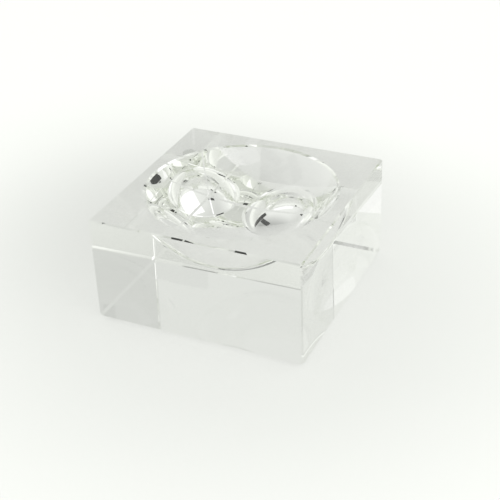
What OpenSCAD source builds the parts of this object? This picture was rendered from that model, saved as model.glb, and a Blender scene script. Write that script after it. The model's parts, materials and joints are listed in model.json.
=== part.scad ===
// Clear display block: a square block of polished crystal glass with a round
// bowl ground into its top, standing on four clear pads.
// Origin: middle of the plane it stands on. +Z is up, the sides face X and Y.

/* [Block] */
// Width and depth of the block
block_w = 100; // [98:1:160]
// Height of the block, without the pads
block_h = 50.6; // [40:0.1:90]

/* [Bowl] */
// Radius of the ball that the bowl is ground to
ball_r = 49.2; // [44:0.2:50]
// Depth of the bowl at its middle
bowl_depth = 26.8; // [12:0.2:30]
// Depth of the polished bevel round the rim
rim_bevel = 0.9; // [0.2:0.1:1]

/* [Ground edges] */
// Width that the flat along each upright and top edge takes off both faces
edge_cut = 0.6; // [0.3:0.1:1.5]
// Width that the flat along each bottom edge takes off both faces
base_edge_cut = 1; // [0.3:0.1:2]
// Length that a facet takes off the edges at each top corner
top_corner_cut = 1.4; // [0.5:0.1:3]
// Length that a facet takes off the edges at each bottom corner
base_corner_cut = 2.6; // [0.5:0.1:4]

/* [Pads] */
// Diameter of a pad
pad_d = 7; // [4:0.5:8]
// Thickness of a pad, which is also the gap under the block
pad_h = 1.6; // [1:0.1:3]
// Distance from a side of the block to the middle of a pad
pad_inset = 6; // [6:0.5:20]
// Width and height of the bevel at a pad's foot
pad_bevel = 0.5; // [0.2:0.1:0.8]

/* [Hidden] */
$fn = 128;
// Room that a cutting shape has past the faces that it cuts
slack = 1;
half_w = block_w / 2;
top_z = pad_h + block_h;
ball_z = top_z + ball_r - bowl_depth;
rim_r = sqrt(pow(ball_r, 2) - pow(ball_r - bowl_depth, 2));
pad_pos = half_w - pad_inset;

// Bar along Y, centred on an edge, that takes a 45 degree flat of the given
// width off both faces beside that edge.
module edge_bar(cut, length) {
    side = cut * sqrt(2);
    rotate([0, 45, 0])
        cube([side, length, side], center = true);
}

// Slab that takes the corner off at the origin, where the block lies towards
// -X, -Y and -Z and the facet takes the given length off all three edges.
module corner_slab(cut) {
    size = 4 * cut;
    tilt = acos(1 / sqrt(3));
    rotate([0, tilt, 45])
        translate([-size / 2, -size / 2, -cut / sqrt(3)])
            cube(size);
}

// Flats along the four edges of one level, and the facets at its corners.
module level_cuts(edge, corner) {
    for (turn = [0:90:270])
        rotate([0, 0, turn]) {
            translate([half_w, 0, 0])
                edge_bar(edge, block_w + slack);
            translate([half_w, half_w, 0])
                corner_slab(corner);
        }
}

// Flats along the four upright edges.
module upright_cuts() {
    for (turn = [0:90:270])
        rotate([0, 0, turn])
            translate([half_w, half_w, block_h / 2])
                rotate([90, 0, 0])
                    edge_bar(edge_cut, block_h + slack);
}

// The bowl: part of a ball, with a bevel where it meets the top face.
module bowl_cut() {
    translate([0, 0, ball_z])
        sphere(r = ball_r);
    translate([0, 0, top_z - rim_bevel])
        cylinder(h = 2 * rim_bevel, r1 = rim_r - rim_bevel, r2 = rim_r + 3 * rim_bevel);
}

module block() {
    color([0.86, 0.88, 0.84, 0.4])
        difference() {
            translate([-half_w, -half_w, pad_h])
                cube([block_w, block_w, block_h]);
            translate([0, 0, pad_h])
                upright_cuts();
            translate([0, 0, top_z])
                level_cuts(edge_cut, top_corner_cut);
            translate([0, 0, pad_h])
                mirror([0, 0, 1])
                    level_cuts(base_edge_cut, base_corner_cut);
            bowl_cut();
        }
}

// One pad: a short round disc with a bevelled foot. side_x and side_y are -1
// or 1 and choose the corner.
module pad(side_x, side_y) {
    color([0.93, 0.94, 0.93, 0.5])
        translate([side_x * pad_pos, side_y * pad_pos, 0]) {
            cylinder(h = pad_bevel, d1 = pad_d - 2 * pad_bevel, d2 = pad_d);
            translate([0, 0, pad_bevel])
                cylinder(h = pad_h - pad_bevel, d = pad_d);
        }
}

block();
pad(-1, -1);  // pad_front_left
pad(1, -1);  // pad_front_right
pad(-1, 1);  // pad_rear_left
pad(1, 1);  // pad_rear_right
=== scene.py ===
# %% [markdown]
# # A crystal display block, built piece by piece
#
# The real object is a square block of clear crystal glass with a round bowl ground into its top,
# standing on four clear pads. Nothing on it moves. Clear glass has almost no looks of its own: it
# shows the floor under it and the room around it, bent and folded by its own shape. So this lesson
# spends its care on true flat faces, a true ball-shaped bowl and a quiet studio to look at in them.
#
# The first cell loads the fixed CAD model, which gives every place and size, and sets up a helper
# that reads a part's box.

# %% Load the fixed model
import json
from itertools import product
from math import cos, pi, radians, sin, sqrt

import bpy
from mathutils import Euler, Matrix, Vector


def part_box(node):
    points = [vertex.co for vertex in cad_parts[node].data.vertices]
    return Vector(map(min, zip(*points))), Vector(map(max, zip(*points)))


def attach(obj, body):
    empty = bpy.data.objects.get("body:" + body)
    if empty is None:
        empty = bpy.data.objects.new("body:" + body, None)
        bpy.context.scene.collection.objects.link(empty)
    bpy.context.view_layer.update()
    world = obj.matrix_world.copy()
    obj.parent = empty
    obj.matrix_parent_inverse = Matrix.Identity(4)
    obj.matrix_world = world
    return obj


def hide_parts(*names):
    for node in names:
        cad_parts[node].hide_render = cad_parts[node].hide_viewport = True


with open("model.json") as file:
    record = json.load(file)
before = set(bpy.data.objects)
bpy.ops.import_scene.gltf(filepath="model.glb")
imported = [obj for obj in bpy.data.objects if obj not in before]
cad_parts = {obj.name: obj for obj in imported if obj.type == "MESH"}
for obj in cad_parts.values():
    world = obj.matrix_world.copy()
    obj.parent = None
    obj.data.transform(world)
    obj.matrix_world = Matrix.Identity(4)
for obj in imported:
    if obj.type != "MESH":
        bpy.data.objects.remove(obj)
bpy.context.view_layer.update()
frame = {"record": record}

MM = 0.001

# %% [markdown]
# ## Sizes that the model already holds
#
# A stranger reading the model finds the block's box in its CAD node, and the bowl in its mounts:
# the ball that fits it, and the bowl's lowest point. The rest follows by Pythagoras, so nothing is
# typed twice. Only the fine flats along the edges and the bevel round the bowl's mouth are given
# here, as a glass cutter would be told.

# %% Work out the block and the bowl
block_low, block_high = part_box("block")
block_width = block_high.x - block_low.x
block_middle = (block_low + block_high) / 2
top_z = block_high.z

bowl_mount = next(m for m in frame["record"]["mounts"] if m["name"] == "bowl")
ball_radius = bowl_mount["dims"]["r_mm"] * MM
bowl_bottom_z = bowl_mount["pos_m"][2]
ball_z = bowl_bottom_z + ball_radius
rim_radius = sqrt(ball_radius**2 - (ball_z - top_z) ** 2)

EDGE_FLAT = 0.6 * MM
BASE_EDGE_FLAT = 1.0 * MM
TOP_CORNER_FACET = 1.4 * MM
BASE_CORNER_FACET = 2.6 * MM
RIM_BEVEL = 0.9 * MM

print(f"block {block_width / MM:.1f} mm wide, ball {ball_radius / MM:.1f} mm, rim {rim_radius / MM:.2f} mm")

# %% [markdown]
# ## The camera
#
# A studio stands its camera well back with a long lens, so that the block's sides stay nearly
# parallel. The camera is placed by its azimuth and elevation round the middle of the block, as on
# a turntable, and then slid a little sideways so that the block sits left of the middle and above
# it. The slide moves the camera itself, so the lens needs no shift and other views are not upset.

# %% Set up the camera
AZIMUTH = radians(25.75)
ELEVATION = radians(31.42)
ROLL = radians(-2.33)
SENSOR = 36.0
LENS = 80.5
DISTANCE = 5.166 * block_width
SLIDE_RIGHT = 0.0315 * block_width
SLIDE_UP = -0.0613 * block_width
CLIP_RATIO = 100

camera_turn = (
    Matrix.Rotation(AZIMUTH, 4, "Z")
    @ Matrix.Rotation(pi / 2 - ELEVATION, 4, "X")
    @ Matrix.Rotation(ROLL, 4, "Z")
)
camera_offset = camera_turn @ Vector((SLIDE_RIGHT, SLIDE_UP, DISTANCE))

bpy.ops.object.camera_add()
camera = bpy.context.object
camera.name = "camera"
camera.matrix_world = Matrix.Translation(block_middle + camera_offset) @ camera_turn
camera.data.sensor_width = SENSOR
camera.data.lens = LENS
camera.data.clip_start = DISTANCE / CLIP_RATIO
camera.data.clip_end = DISTANCE * CLIP_RATIO
bpy.context.scene.camera = camera
print(f"camera {camera_offset.length:.3f} m from the block, {LENS} mm lens")

# %% [markdown]
# ## Three helpers for modelling by hand
#
# Every operator acts on what is selected, and loading leaves the CAD nodes selected. So a piece
# starts with nothing selected, and edges or faces are then picked by where they lie. A piece is
# finished by applying its transform, so that its object sits at the origin and its place is in its
# mesh, and by merging doubles before its normals are turned outwards.

# %% Helpers for modelling
WELD = 0.5e-6


def start_piece(name, add, stretch=(1, 1, 1), **settings):
    """Add a primitive with nothing else selected, stretch it, put its place in its mesh, name it."""
    bpy.ops.object.select_all(action="DESELECT")
    add(**settings)
    piece = bpy.context.object
    piece.scale = stretch
    bpy.ops.object.transform_apply(location=True, rotation=True, scale=True)
    piece.name = piece.data.name = name
    return piece


def pick(piece, kind, test):
    """Go into edit mode with only the vertices, edges or faces selected whose middle passes."""
    bpy.ops.object.mode_set(mode="EDIT")
    bpy.ops.mesh.select_mode(type=kind)
    bpy.ops.mesh.select_all(action="DESELECT")
    bpy.ops.object.mode_set(mode="OBJECT")
    mesh = piece.data
    elements = {"VERT": mesh.vertices, "EDGE": mesh.edges, "FACE": mesh.polygons}[kind]
    for element in elements:
        if kind == "VERT":
            middle = element.co
        elif kind == "FACE":
            middle = element.center
        else:
            middle = sum((mesh.vertices[i].co for i in element.vertices), Vector()) / 2
        element.select = test(middle)
    bpy.ops.object.mode_set(mode="EDIT")


def close_up(piece, smooth_below):
    """Merge doubles, turn the faces outwards and shade smoothly across gentle edges only."""
    bpy.ops.object.mode_set(mode="EDIT")
    bpy.ops.mesh.select_all(action="SELECT")
    bpy.ops.mesh.remove_doubles(threshold=WELD)
    bpy.ops.mesh.normals_make_consistent(inside=False)
    bpy.ops.object.mode_set(mode="OBJECT")
    bpy.ops.object.shade_smooth_by_angle(angle=smooth_below)
    print(piece.name, len(piece.data.polygons), "faces")


# %% [markdown]
# ## The block: saw it square, then grind its edges
#
# The real block is sawn from a casting and its six faces are ground flat and polished. Then every
# edge is touched to a wheel, because a raw glass edge chips and cuts. A Bevel modifier could do
# this, but it makes all its flats alike and rounds the corners its own way. A bisect is closer to
# the wheel: one plane, everything outside it thrown away and the wound filled flat. Twelve edges
# and eight corners are twenty touches, and a loop over the signs of x, y and z does them.

# %% Saw the block and grind its flats
block = start_piece(
    "block_crystal",
    bpy.ops.mesh.primitive_cube_add,
    size=1,
    location=block_middle,
    stretch=block_high - block_low,
)
half_size = (block_high - block_low) / 2


def grind(corner_signs, cut):
    """Take a flat off the edge or corner that the signs point to; cut is its run along a face."""
    outward = Vector(corner_signs)
    touched = block_middle + Vector(s * h for s, h in zip(corner_signs, half_size))
    first_axis = next(i for i, sign in enumerate(corner_signs) if sign)
    touched[first_axis] -= corner_signs[first_axis] * cut
    bpy.ops.mesh.select_all(action="SELECT")
    bpy.ops.mesh.bisect(
        plane_co=touched, plane_no=outward.normalized(), use_fill=True, clear_outer=True
    )


bpy.ops.object.mode_set(mode="EDIT")
for signs in product((-1, 0, 1), repeat=3):
    if signs.count(0) == 1:
        grind(signs, BASE_EDGE_FLAT if signs[2] < 0 else EDGE_FLAT)
for signs in product((-1, 1), repeat=3):
    grind(signs, BASE_CORNER_FACET if signs[2] < 0 else TOP_CORNER_FACET)
bpy.ops.object.mode_set(mode="OBJECT")
print("faces after grinding", len(block.data.polygons))

# %% [markdown]
# ## The bowl: sink a ball into the top
#
# The bowl is ground with a round tool, so its surface is part of a ball. A fine ball is added at
# the height that the CAD gives, its upper part is cut away just under the rim, and its open edge
# is drawn up and out in a cone that will leave the polished bevel round the mouth. The cutter is
# then taken from the block with one exact Boolean. The ball has many more rings than an opaque
# bowl would need: glass bends light by its surface's tilt, so coarse facets would show as rays.
#
# The cone leaves the ball about two thirds of the bevel's depth below the top, and ends well above
# it, so that it crosses the top face about one bevel outside the ball's own rim.

# %% Shape the cutter
BALL_SEGMENTS = 384
BALL_RINGS = 300
BEVEL_SHARE_BELOW = 2 / 3
CONE_BEVELS_OUT = 3
SMOOTH_BELOW = radians(8)

cutter = start_piece(
    "bowl_cutter",
    bpy.ops.mesh.primitive_uv_sphere_add,
    segments=BALL_SEGMENTS,
    ring_count=BALL_RINGS,
    radius=ball_radius,
    location=(0, 0, ball_z),
)
bevel_start_z = top_z - BEVEL_SHARE_BELOW * RIM_BEVEL
bevel_start_radius = sqrt(ball_radius**2 - (ball_z - bevel_start_z) ** 2)
bevel_end_radius = rim_radius + CONE_BEVELS_OUT * RIM_BEVEL
bevel_end_z = top_z + RIM_BEVEL

bpy.ops.object.mode_set(mode="EDIT")
bpy.ops.mesh.select_all(action="SELECT")
bpy.ops.mesh.bisect(plane_co=(0, 0, bevel_start_z), plane_no=(0, 0, 1), clear_outer=True)
bpy.ops.object.mode_set(mode="OBJECT")
pick(cutter, "VERT", lambda middle: abs(middle.z - bevel_start_z) < WELD)
bpy.ops.mesh.select_mode(type="EDGE")
bpy.ops.mesh.extrude_region_move(
    TRANSFORM_OT_translate={"value": (0, 0, bevel_end_z - bevel_start_z)}
)
widening = bevel_end_radius / bevel_start_radius
bpy.ops.transform.resize(value=(widening, widening, 1), center_override=(0, 0, bevel_end_z))
bpy.ops.mesh.edge_face_add()
bpy.ops.object.mode_set(mode="OBJECT")
close_up(cutter, SMOOTH_BELOW)

# %% [markdown]
# ## The bowl: take the ball out
#
# The cutter is now subtracted from the block. The exact solver is slower than the fast one, but it
# is the safer choice for glass, which needs a closed mesh to tell its inside from its outside. The
# smoothing angle is small, so that the bowl shades as one curve and every ground flat stays crisp.

# %% Sink the ball and take it out
bpy.ops.object.select_all(action="DESELECT")
block.select_set(True)
bpy.context.view_layer.objects.active = block
sink = block.modifiers.new("bowl", "BOOLEAN")
sink.operation = "DIFFERENCE"
sink.solver = "EXACT"
sink.object = cutter
bpy.ops.object.modifier_apply(modifier=sink.name)
close_up(block, SMOOTH_BELOW)

bpy.ops.object.select_all(action="DESELECT")
cutter.select_set(True)
bpy.ops.object.delete()

# %% [markdown]
# ## The pads: four small moulded feet
#
# A polished block would scratch a shelf and slide on it, so it stands on clear soft pads. Each is
# moulded with sides that lean in a little, so that it leaves its mould, a rounded foot, and a
# shallow dimple where the plastic flowed in. One pad is modelled and then copied to the other
# three places, each copy with its own mesh. A hair of air is left above it: two clear surfaces in
# exactly the same plane would flicker, and an open gap keeps the mirror of the block's base whole.

# %% Model one pad and copy it
PAD_NODES = ["pad_front_left", "pad_front_right", "pad_rear_left", "pad_rear_right"]
PAD_SIDES = 64
PAD_LEAN = 0.95
PAD_FOOT_ROUND = 0.35 * MM
PAD_TOP_ROUND = 0.08 * MM
DIMPLE_INSET = 1.6 * MM
DIMPLE_DEPTH = 0.15 * MM
HAIR_OF_AIR = 0.03 * MM
FOOT_STEPS = 5
DIMPLE_STEPS = 3
PAD_TOP_STEPS = 2
PAD_SMOOTH_BELOW = radians(40)


def model_pad(node):
    """Turn a short cylinder into a moulded pad inside the CAD node's box."""
    low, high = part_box(node)
    middle = (low + high) / 2
    height = high.z - low.z - HAIR_OF_AIR
    pad = start_piece(
        node + "_moulded",
        bpy.ops.mesh.primitive_cylinder_add,
        vertices=PAD_SIDES,
        radius=(high.x - low.x) / 2,
        depth=height,
        location=(middle.x, middle.y, low.z + height / 2),
    )
    foot = Vector((middle.x, middle.y, low.z))
    pick(pad, "FACE", lambda spot: spot.z < low.z + WELD)
    bpy.ops.transform.resize(value=(PAD_LEAN, PAD_LEAN, 1), center_override=foot)
    bpy.ops.mesh.bevel(offset=PAD_FOOT_ROUND, segments=FOOT_STEPS, affect="EDGES")
    bpy.ops.object.mode_set(mode="OBJECT")
    pick(pad, "FACE", lambda spot: spot.z < low.z + WELD)
    bpy.ops.mesh.inset(thickness=DIMPLE_INSET)
    bpy.ops.transform.translate(value=(0, 0, DIMPLE_DEPTH))
    bpy.ops.mesh.bevel(offset=DIMPLE_DEPTH, segments=DIMPLE_STEPS, affect="EDGES")
    bpy.ops.object.mode_set(mode="OBJECT")
    pick(pad, "FACE", lambda spot: spot.z > low.z + height - WELD)
    bpy.ops.mesh.bevel(offset=PAD_TOP_ROUND, segments=PAD_TOP_STEPS, affect="EDGES")
    bpy.ops.object.mode_set(mode="OBJECT")
    close_up(pad, PAD_SMOOTH_BELOW)
    return pad


pads = [model_pad(PAD_NODES[0])]
first_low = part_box(PAD_NODES[0])[0]
for node in PAD_NODES[1:]:
    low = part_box(node)[0]
    bpy.ops.object.select_all(action="DESELECT")
    pads[0].select_set(True)
    bpy.context.view_layer.objects.active = pads[0]
    bpy.ops.object.duplicate()
    copy = bpy.context.object
    bpy.ops.transform.translate(value=low - first_low)
    bpy.ops.object.transform_apply(location=True, rotation=True, scale=True)
    copy.name = copy.data.name = node + "_moulded"
    pads.append(copy)
print("pads", [pad.name for pad in pads])

# %% [markdown]
# ## Three helpers for materials
#
# Colours are written as the hex codes that a designer reads off a chart, and one function turns
# them to the linear values that light is added up in. Another adds a node, sets its properties and
# either fills or links each of its sockets, so that a material reads from top to bottom. The third
# makes an empty material to put the nodes in.

# %% Helpers for materials


def linear(hex_code):
    """A linear RGBA colour from an sRGB hex code such as #A0B1C2."""
    shares = [int(hex_code[i : i + 2], 16) / 255 for i in (1, 3, 5)]
    return [s / 12.92 if s <= 0.04045 else ((s + 0.055) / 1.055) ** 2.4 for s in shares] + [1]


def add_node(tree, kind, inputs, **settings):
    """Add a node with its settings, and fill each socket with a value or a link to an output."""
    node = tree.nodes.new(kind)
    for name, value in settings.items():
        setattr(node, name, value)
    for name, value in inputs.items():
        if isinstance(value, bpy.types.NodeSocket):
            tree.links.new(value, node.inputs[name])
        else:
            node.inputs[name].default_value = value
    return node


def new_material(name):
    """An empty node material, and its tree."""
    material = bpy.data.materials.new(name)
    material.use_nodes = True
    material.node_tree.nodes.clear()
    return material, material.node_tree


# %% [markdown]
# ## Finish 1: ground and polished crystal glass
#
# Crystal glass is clear, heavy and bends light more than a window does, with an index of about
# 1.54. Ten centimetres of it take a little blue and red out of the light, so that deep places look
# faintly warm green. Tinting the surface would colour thick and thin places alike, so the tint is
# absorption in the volume instead.
#
# Hand polishing leaves the faces very slightly wavy, over a few centimetres and less than a micron
# deep, and wiping leaves streaks a few millimetres apart that are finer still. Both are bump. The
# roughness stays at zero, because a rough surface would blur every edge that is seen through it.

# %% Give the faces their waves and wipe marks
WAVE_LENGTH = 30 * MM
WAVE_HEIGHT = 0.6e-6
WAVE_DETAIL = 1.0
WIPE_WIDTH = 4 * MM
WIPE_HEIGHT = 0.12e-6
WIPE_DETAIL = 2.0
WIPE_STRETCH = 0.12
WIPE_TURN = (radians(20), radians(38), radians(-15))

crystal, tree = new_material("polished_crystal_glass")
place = add_node(tree, "ShaderNodeTexCoord", {})
waves = add_node(
    tree,
    "ShaderNodeTexNoise",
    {"Vector": place.outputs["Object"], "Scale": 1 / WAVE_LENGTH, "Detail": WAVE_DETAIL},
)
wiped = add_node(
    tree,
    "ShaderNodeMapping",
    {
        "Vector": place.outputs["Object"],
        "Rotation": WIPE_TURN,
        "Scale": (1, 1, WIPE_STRETCH),
    },
)
wipes = add_node(
    tree,
    "ShaderNodeTexNoise",
    {"Vector": wiped.outputs["Vector"], "Scale": 1 / WIPE_WIDTH, "Detail": WIPE_DETAIL},
)
wipe_marks = add_node(
    tree,
    "ShaderNodeBump",
    {"Height": wipes.outputs["Fac"], "Strength": 1.0, "Distance": WIPE_HEIGHT},
)
ripple = add_node(
    tree,
    "ShaderNodeBump",
    {
        "Height": waves.outputs["Fac"],
        "Strength": 1.0,
        "Distance": WAVE_HEIGHT,
        "Normal": wipe_marks.outputs["Normal"],
    },
)
print("waves", WAVE_LENGTH / MM, "mm long, wipe marks", WIPE_WIDTH / MM, "mm wide")

# %% Fill the block with crystal glass
CLEAR = "#FFFFFF"
GLASS_INDEX = 1.54
POLISH_ROUGHNESS = 0.0
ABSORPTION_COLOUR = "#E9EDE1"
ABSORPTION_PER_METRE = 2.0

glass = add_node(
    tree,
    "ShaderNodeBsdfPrincipled",
    {
        "Base Color": linear(CLEAR),
        "Roughness": POLISH_ROUGHNESS,
        "IOR": GLASS_INDEX,
        "Transmission Weight": 1.0,
        "Normal": ripple.outputs["Normal"],
    },
)
depth_tint = add_node(
    tree,
    "ShaderNodeVolumeAbsorption",
    {"Color": linear(ABSORPTION_COLOUR), "Density": ABSORPTION_PER_METRE},
)
add_node(
    tree,
    "ShaderNodeOutputMaterial",
    {"Surface": glass.outputs["BSDF"], "Volume": depth_tint.outputs["Volume"]},
)
print(crystal.name, "has index", GLASS_INDEX, "and", len(tree.nodes), "nodes")

# %% [markdown]
# ## Finish 2: moulded clear polyurethane
#
# The pads are cast in a soft clear resin. It is clear but never sharp: its skin is a little dull
# and has the fine pebble of the mould, so a pad looks like a drop of frosted jelly. Roughness
# alone would look like fog, so it is joined by a bump whose pebbles are a fifth of a millimetre
# across and a few microns high.

# %% Make the polyurethane
RESIN_COLOUR = "#F6F8F5"
RESIN_INDEX = 1.49
RESIN_ROUGHNESS = 0.22
PEBBLE = 0.2 * MM
PEBBLE_HEIGHT = 8e-6
PEBBLE_DETAIL = 2.0

resin, tree = new_material("moulded_clear_polyurethane")
place = add_node(tree, "ShaderNodeTexCoord", {})
pebbles = add_node(
    tree,
    "ShaderNodeTexNoise",
    {"Vector": place.outputs["Object"], "Scale": 1 / PEBBLE, "Detail": PEBBLE_DETAIL},
)
skin = add_node(
    tree,
    "ShaderNodeBump",
    {"Height": pebbles.outputs["Fac"], "Strength": 1.0, "Distance": PEBBLE_HEIGHT},
)
jelly = add_node(
    tree,
    "ShaderNodeBsdfPrincipled",
    {
        "Base Color": linear(RESIN_COLOUR),
        "Roughness": RESIN_ROUGHNESS,
        "IOR": RESIN_INDEX,
        "Transmission Weight": 1.0,
        "Normal": skin.outputs["Normal"],
    },
)
add_node(tree, "ShaderNodeOutputMaterial", {"Surface": jelly.outputs["BSDF"]})
print(resin.name, "has index", RESIN_INDEX, "and pebbles", PEBBLE / MM, "mm across")

# %% [markdown]
# ## Put each piece on the frame
#
# The object is one rigid body, called root, so every piece rides on it. Each piece stands for the
# CAD node that it was modelled in, and takes its finish.

# %% Dress and attach the pieces
for piece, node, finish, slot in [
    (block, "block", crystal, "crystal_glass"),
    *((pad, node, resin, "clear_pad") for pad, node in zip(pads, PAD_NODES)),
]:
    piece.data.materials.clear()
    piece.data.materials.append(finish)
    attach(piece, "root")
    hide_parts(node)
    print(piece.name, "stands for", node)

# %% [markdown]
# ## The floor
#
# The block stands on a plain pale table. Part of its brightness is painted light, a glow of its own
# as on a light table, and the rest is the room's light, so that the block still shades it a little
# and looks set down. Clear glass on a pure white sheet loses its edges. So the glow is less under
# and round the block, a painted shade, rises to nearly white well outside it, and falls again far
# off, where low views look along the floor. A wide soft painted shadow lies behind the block on its
# left.
#
# Lamps could make these three zones, but a lamp bright enough would show in the glass. So each is
# painted into the glow: a distance along the floor, smoothed between where the zone starts and
# where it ends. What the zones give is added up.

# %% Lay the floor and measure along it
FLOOR_SIZE = 12.0
SHADE_PLACE = block_width * Vector((-0.9, 0.7, 0))

floor = start_piece("studio_floor", bpy.ops.mesh.primitive_plane_add, size=FLOOR_SIZE)
table_top, tree = new_material("matt_floor_painted_glow")
place = add_node(tree, "ShaderNodeTexCoord", {})
from_middle = add_node(
    tree, "ShaderNodeVectorMath", {0: place.outputs["Object"]}, operation="LENGTH"
)
from_shade = add_node(
    tree,
    "ShaderNodeVectorMath",
    {0: place.outputs["Object"], 1: SHADE_PLACE},
    operation="DISTANCE",
)
print("floor", FLOOR_SIZE, "m wide, shade centred at", [round(v, 3) for v in SHADE_PLACE])

# %% Paint the three zones of its glow
# The glow is painted light, lower under and round the block as painted shade.
SHADED_GLOW_NEAR = 0.57
GLOW_FAR = 0.71
UNDER_BLOCK_SHADE_START = 0.75 * block_width
UNDER_BLOCK_SHADE_END = 2.1 * block_width
HORIZON_START = 5.0 * block_width
HORIZON_END = 16.0 * block_width
HORIZON_LOSS = 0.22
# The shade zone is a painted shadow behind the block on its left.
SHADE_REACH = 1.7 * block_width
SHADE_DEPTH = 0.12
FLOOR_ZONES = [  # name, distance from its middle, its start and end, glow added at each
    ("painted_shade_patch", from_middle, UNDER_BLOCK_SHADE_START, UNDER_BLOCK_SHADE_END, SHADED_GLOW_NEAR, GLOW_FAR),
    ("horizon", from_middle, HORIZON_START, HORIZON_END, 0.0, -HORIZON_LOSS),
    ("shade", from_shade, 0.0, SHADE_REACH, -SHADE_DEPTH, 0.0),
]

glow = 0.0
for name, distance, start, end, start_glow, end_glow in FLOOR_ZONES:
    zone = add_node(
        tree,
        "ShaderNodeMapRange",
        {
            "Value": distance.outputs["Value"],
            "From Min": start,
            "From Max": end,
            "To Min": start_glow,
            "To Max": end_glow,
        },
        interpolation_type="SMOOTHSTEP",
        label=name,
    )
    total = add_node(tree, "ShaderNodeMath", {0: glow, 1: zone.outputs["Result"]}, operation="ADD")
    glow = total.outputs["Value"]
    print(name, "from", round(start, 3), "m to", round(end, 3), "m")

# %% Give the floor its matt paint
FLOOR_PAINT = "#B7B9B6"
FLOOR_GLOW = "#FEFFFB"
PAINT_ROUGHNESS = 0.9
NO_SHINE = 0.0

# The emission is the floor's painted glow, with painted shade round the block and behind it.
paint = add_node(
    tree,
    "ShaderNodeBsdfPrincipled",
    {
        "Base Color": linear(FLOOR_PAINT),
        "Roughness": PAINT_ROUGHNESS,
        "Specular IOR Level": NO_SHINE,
        "Emission Color": linear(FLOOR_GLOW),
        "Emission Strength": glow,
    },
)
add_node(tree, "ShaderNodeOutputMaterial", {"Surface": paint.outputs["BSDF"]})
floor.data.materials.append(table_top)
print(floor.name, "has", table_top.name)

# %% [markdown]
# ## The room
#
# Glass needs something to show. The room is an even pale grey, brighter towards the right and the
# front left, where the softboxes stand, and a little brighter at the back. It is dimmer on the
# left, in the corner behind right, and most of all high up behind and high up in front on the left.
#
# A picture of a real room could give this, but a plain recipe is easier to change. Each broad
# change is the same two nodes: how near a direction is to a middle, smoothed into a soft lobe.

# %% Light the room


def direction(azimuth, elevation):
    """The unit vector towards a place in the room; azimuth 0 is in front, 90 to the right."""
    a, e = radians(azimuth), radians(elevation)
    return Vector((sin(a) * cos(e), -cos(a) * cos(e), sin(e)))


ROOM_COLOUR = "#FDFFFB"
ROOM_TONE = 0.71
ROOM_LOBES = [  # name, azimuth, elevation, half width in degrees, brightness added
    ("right_glow", 66, 18, 48, 0.23),
    ("front_left_glow", 345, 20, 38, 0.22),
    ("back_glow", 207, 34, 27, 0.07),
    ("dim_left", 285, 38, 38, -0.10),
    ("dim_high_left", 325, 60, 30, -0.34),
    ("dim_high_back", 195, 68, 24, -0.50),
    ("dim_right_corner", 150, 33, 10, -0.05),
]

world = bpy.data.worlds.new("studio_room")
bpy.context.scene.world = world
world.use_nodes = True
tree = world.node_tree
tree.nodes.clear()
place = add_node(tree, "ShaderNodeTexCoord", {})
tone = ROOM_TONE
for name, azimuth, elevation, half_width, added in ROOM_LOBES:
    nearness = add_node(
        tree,
        "ShaderNodeVectorMath",
        {0: place.outputs["Generated"], 1: direction(azimuth, elevation)},
        operation="DOT_PRODUCT",
    )
    lobe = add_node(
        tree,
        "ShaderNodeMapRange",
        {
            "Value": nearness.outputs["Value"],
            "From Min": cos(radians(half_width)),
            "From Max": 1.0,
            "To Min": 0.0,
            "To Max": added,
        },
        interpolation_type="SMOOTHSTEP",
        label=name,
    )
    total = add_node(tree, "ShaderNodeMath", {0: tone, 1: lobe.outputs["Result"]}, operation="ADD")
    tone = total.outputs["Value"]
sky = add_node(tree, "ShaderNodeBackground", {"Color": linear(ROOM_COLOUR), "Strength": tone})
add_node(tree, "ShaderNodeOutputWorld", {"Surface": sky.outputs["Background"]})
print(world.name, "is made of", len(ROOM_LOBES), "lobes on a tone of", ROOM_TONE)

# %% [markdown]
# ## The cards
#
# What makes glass read as glass is a few crisp edges to reflect: bright panels and a dark shape
# or two. Each card is a plain panel, added as a plane, stretched to the angles that it covers and
# stood far off in its direction, facing the block. The dark ones stand for a lamp head and its
# arm, for the camera, and for a flag behind and a little to the right, which is what a studio calls
# a card that blocks light. Real lamps would need their own shapes and falloff, and all that the glass
# shows of them is a tone with straight edges, so a panel that glows evenly is enough.

# %% Stand the cards round the block
CARD_DISTANCE = 1.2
CARD_WHITE = "#FFFFFF"
CARDS = [  # name, azimuth, elevation, width, height and tilt in degrees, brightness
    ("right_softbox", 66, 32, 36, 44, 0, 1.25),
    ("front_left_softbox", 346, 15, 26, 28, 0, 1.10),
    ("lamp_head", 304, 33, 30, 11, -20, 0.01),
    ("lamp_arm", 319.5, 43.5, 17, 6, 52, 0.04),
    ("camera_body", 25, 32, 7, 6, 0, 0.05),
    ("flag", 163, 23, 12, 11, 0, 0.04),
]


def card_material(name, brightness):
    """A matt panel that gives the same light from every point."""
    material, tree = new_material(name)
    light = add_node(
        tree, "ShaderNodeEmission", {"Color": linear(CARD_WHITE), "Strength": brightness}
    )
    add_node(tree, "ShaderNodeOutputMaterial", {"Surface": light.outputs["Emission"]})
    return material


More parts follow.
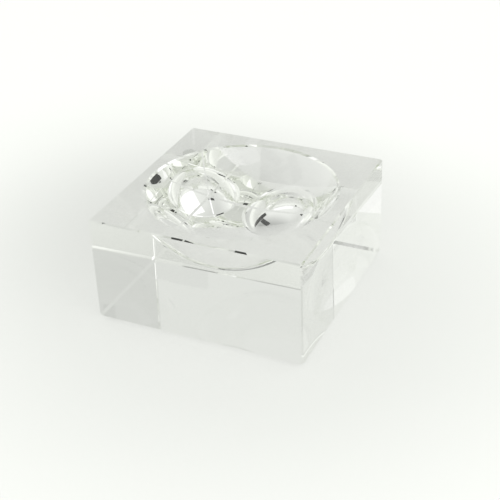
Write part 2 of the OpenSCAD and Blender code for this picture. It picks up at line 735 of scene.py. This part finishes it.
for name, azimuth, elevation, width, height, tilt, brightness in CARDS:
    towards = direction(azimuth, elevation)
    facing = towards.to_track_quat("Z", "Y") @ Euler((0, 0, radians(tilt))).to_quaternion()
    card = start_piece(
        name,
        bpy.ops.mesh.primitive_plane_add,
        size=1,
        location=block_middle + towards * CARD_DISTANCE,
        rotation=facing.to_euler(),
        stretch=(radians(width) * CARD_DISTANCE, radians(height) * CARD_DISTANCE, 1),
    )
    card.data.materials.append(card_material(name, brightness))
    print(name, "at azimuth", azimuth, "elevation", elevation)

# %% [markdown]
# ## The tripod
#
# The camera's tripod is much nearer than the cards and stands on the floor, so that the glass can
# show it from its foot up. Three legs and a column could be modelled, but bent and folded by the
# glass they would run together, so one plain dark cylinder stands for them all. It is lower than
# the camera and a little to one side, so the camera looks over it.

# %% Stand the tripod in front
TRIPOD_PLACE = 4.2 * block_width * direction(16, 0)
TRIPOD_WIDTH = 0.50 * block_width
TRIPOD_HEIGHT = 2.0 * block_width
# The tripod's dark tone is a faint glow of its own, painted light, not light from the room.
TRIPOD_GLOW = 0.03
TRIPOD_SIDES = 24

tripod = start_piece(
    "tripod",
    bpy.ops.mesh.primitive_cylinder_add,
    vertices=TRIPOD_SIDES,
    radius=TRIPOD_WIDTH / 2,
    depth=TRIPOD_HEIGHT,
    location=TRIPOD_PLACE + Vector((0, 0, TRIPOD_HEIGHT / 2)),
)
tripod.data.materials.append(card_material("tripod", TRIPOD_GLOW))
print("tripod at", [round(value, 3) for value in TRIPOD_PLACE])

# %% [markdown]
# ## Light paths and tone
#
# A ray that enters the block is mirrored many times before it finds its way out, and a ray cut
# short shows as a black speck. So the paths may be long, and none is dropped early by chance.
#
# The denoiser works from the colours alone. Its other passes describe the first surface that a ray
# meets, and on clear glass that says little about what is seen through it. The Standard view keeps
# the pale tones as they are, where a filmic one would turn white paper grey.

# %% Let light travel far enough
LONGEST_PATH = 48
cycles = bpy.context.scene.cycles
cycles.max_bounces = LONGEST_PATH
cycles.glossy_bounces = LONGEST_PATH
cycles.transmission_bounces = LONGEST_PATH
cycles.min_light_bounces = LONGEST_PATH
cycles.denoising_input_passes = "RGB"
bpy.context.scene.view_settings.view_transform = "Standard"
print("a path may be", LONGEST_PATH, "bounces long")
